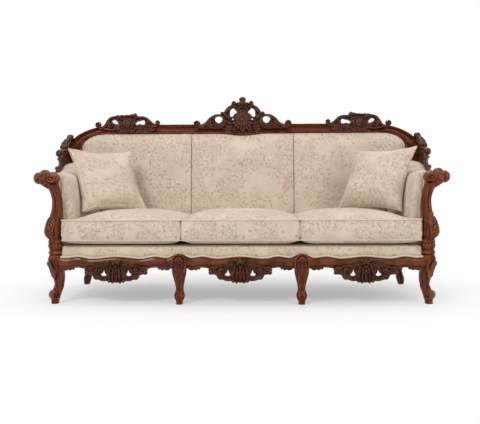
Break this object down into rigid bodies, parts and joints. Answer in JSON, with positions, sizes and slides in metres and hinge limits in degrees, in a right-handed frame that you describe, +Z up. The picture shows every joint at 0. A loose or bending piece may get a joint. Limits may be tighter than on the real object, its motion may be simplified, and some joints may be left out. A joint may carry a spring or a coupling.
{
  "type": "cabriole sofa",
  "caption": "Carved show-wood sofa with cabriole legs, rolled arm ends, pierced crest and apron carvings, a tight back, and loose seat and scatter cushions.",
  "frame": {"origin": "centre of the bounding box at floor level", "axes": "+X to the right as one faces the sofa, +Y to the back, +Z up"},
  "size_m": [2.232, 0.7904, 1.175],
  "materials": {
    "show_wood": "polished mahogany stain",
    "carved_wood": "dark polished carving",
    "frame_wood": "plain sawn beech",
    "floral_fabric": "woven floral jacquard",
    "spring_steel": "plain spring wire",
    "dust_cloth": "black cambric"
  },
  "bodies": {
    "sofa_frame": {"front_corner_leg_right": "show_wood", "front_corner_leg_left": "show_wood", "front_middle_leg_right": "show_wood", "front_middle_leg_left": "show_wood", "rear_leg_right": "show_wood", "rear_leg_left": "show_wood", "front_seat_rail": "show_wood", "side_rail_right": "show_wood", "side_rail_left": "show_wood", "back_seat_rail": "frame_wood", "seat_brace_right": "frame_wood", "seat_brace_left": "frame_wood", "corner_block_front_right": "frame_wood", "corner_block_front_left": "frame_wood", "corner_block_rear_right": "frame_wood", "corner_block_rear_left": "frame_wood", "dust_cover": "dust_cloth", "seat_spring_1": "spring_steel", "seat_spring_2": "spring_steel", "seat_spring_3": "spring_steel", "seat_spring_4": "spring_steel", "seat_spring_5": "spring_steel", "seat_spring_6": "spring_steel", "arm_post_right": "show_wood", "arm_post_left": "show_wood", "arm_scroll_right": "show_wood", "arm_scroll_left": "show_wood", "arm_rail_right": "frame_wood", "arm_rail_left": "frame_wood", "arm_pad_right": "floral_fabric", "arm_pad_left": "floral_fabric", "arm_outside_right": "floral_fabric", "arm_outside_left": "floral_fabric", "shoulder_right": "show_wood", "shoulder_left": "show_wood", "back_stile_right": "show_wood", "back_stile_left": "show_wood", "crest_rail": "show_wood", "back_lower_rail": "frame_wood", "back_outside": "floral_fabric", "back_pad_centre": "floral_fabric", "back_pad_right": "floral_fabric", "back_pad_left": "floral_fabric", "crest_carving_centre": "carved_wood", "crest_carving_right": "carved_wood", "crest_carving_left": "carved_wood", "seat_deck": "floral_fabric", "apron_carving_centre": "carved_wood", "apron_carving_right": "carved_wood", "apron_carving_left": "carved_wood"},
    "seat_cushion_centre": {"seat_cushion_centre": "floral_fabric"},
    "seat_cushion_right": {"seat_cushion_right": "floral_fabric"},
    "seat_cushion_left": {"seat_cushion_left": "floral_fabric"},
    "scatter_cushion_right": {"scatter_cushion_right": "floral_fabric"},
    "scatter_cushion_left": {"scatter_cushion_left": "floral_fabric"}
  },
  "joints": [
    {"name": "seat_cushion_centre_lift", "type": "slide", "parent": "sofa_frame", "child": "seat_cushion_centre", "axis": [0, 0, 1], "range_m": [0, 0.9]},
    {"name": "seat_cushion_right_lift", "type": "slide", "parent": "sofa_frame", "child": "seat_cushion_right", "axis": [0, 0, 1], "range_m": [0, 0.9]},
    {"name": "seat_cushion_left_lift", "type": "slide", "parent": "sofa_frame", "child": "seat_cushion_left", "axis": [0, 0, 1], "range_m": [0, 0.9]},
    {"name": "scatter_cushion_right_lift", "type": "slide", "parent": "seat_cushion_right", "child": "scatter_cushion_right", "axis": [0, 0, 1], "range_m": [0, 0.75]},
    {"name": "scatter_cushion_left_lift", "type": "slide", "parent": "seat_cushion_left", "child": "scatter_cushion_left", "axis": [0, 0, 1], "range_m": [0, 0.75]}
  ]
}
